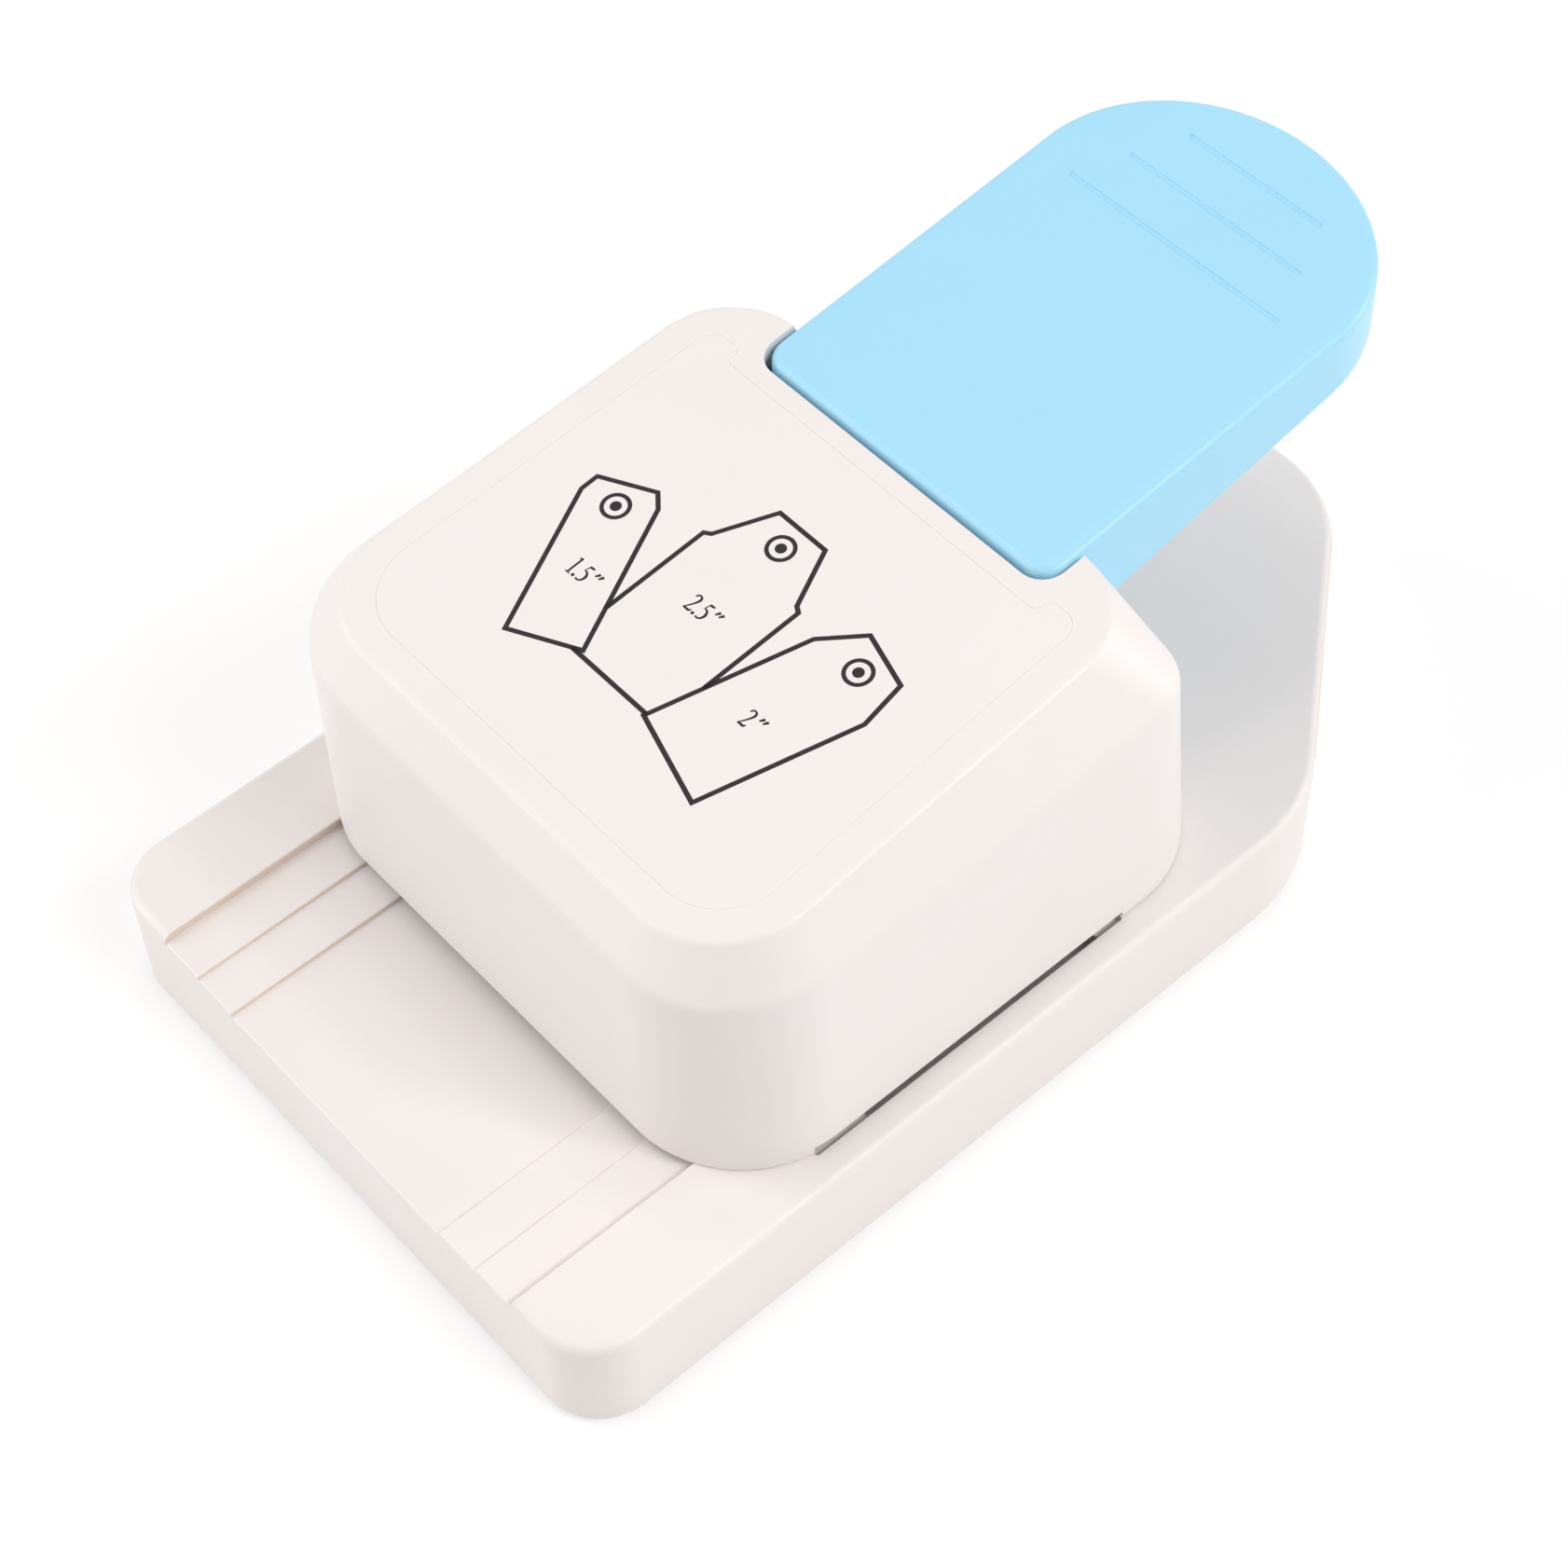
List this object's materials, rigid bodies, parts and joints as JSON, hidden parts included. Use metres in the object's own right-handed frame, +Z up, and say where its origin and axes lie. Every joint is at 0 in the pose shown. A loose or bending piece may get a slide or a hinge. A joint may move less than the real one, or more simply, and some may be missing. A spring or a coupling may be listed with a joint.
{
  "type": "label punch",
  "caption": "Desk lever punch that clips both corners of a paper label and punches its string hole, with a stepped front channel for several label widths and a waste bay below.",
  "frame": {"origin": "centre of the footprint's bounding box, on the surface that the feet stand on", "axes": "+Z up, -Y towards the label channel at the front, +Y along the lever to its tail, +X to the right seen from the front"},
  "size_m": [0.088, 0.1494, 0.0671],
  "materials": {
    "warm_white_plastic": "satin moulded",
    "label_film": "smooth printed film",
    "light_blue_plastic": "satin moulded",
    "grey_nylon": "matte moulded",
    "steel": "ground",
    "die_cast_zinc": "as cast zinc alloy",
    "rubber": "matte"
  },
  "bodies": {
    "base": {"base_shell": "warm_white_plastic", "head_cover": "warm_white_plastic", "label_panel": "label_film", "guide_frame": "grey_nylon", "paper_guide": "grey_nylon", "die_plate": "steel", "stripper_plate": "steel", "guide_post_left": "steel", "guide_post_right": "steel", "return_spring_left": "steel", "return_spring_right": "steel", "hinge_pin": "steel", "hinge_clip": "steel", "stack_screw_front_left": "steel", "stack_screw_front_right": "steel", "stack_screw_rear_left": "steel", "stack_screw_rear_right": "steel", "foot_front_left": "rubber", "foot_front_right": "rubber", "foot_rear_left": "rubber", "foot_rear_right": "rubber"},
    "lever": {"lever": "light_blue_plastic"},
    "ram": {"ram": "die_cast_zinc", "corner_punch_left": "steel", "corner_punch_right": "steel", "hole_punch": "steel"},
    "chad_cover": {"chad_cover": "warm_white_plastic"}
  },
  "joints": [
    {"name": "lever_press", "type": "hinge", "parent": "base", "child": "lever", "pos_m": [0, -0.0383, 0.04425], "axis": [-1, 0, 0], "range_deg": [0, 12.6], "stiffness_Nm_per_rad": 2.3, "springref_deg": -10.31},
    {"name": "ram_slide", "type": "slide", "parent": "base", "child": "ram", "axis": [0, 0, -1], "range_m": [0, 0.0055], "deforming": ["return_spring_left", "return_spring_right"]},
    {"name": "chad_cover_swing", "type": "hinge", "parent": "base", "child": "chad_cover", "pos_m": [0, 0.00435, 0.002], "axis": [1, 0, 0], "range_deg": [0, 100]}
  ],
  "couplings": [
    {"joint": "ram_slide", "follows": "lever_press", "m_per_rad": 0.025}
  ]
}
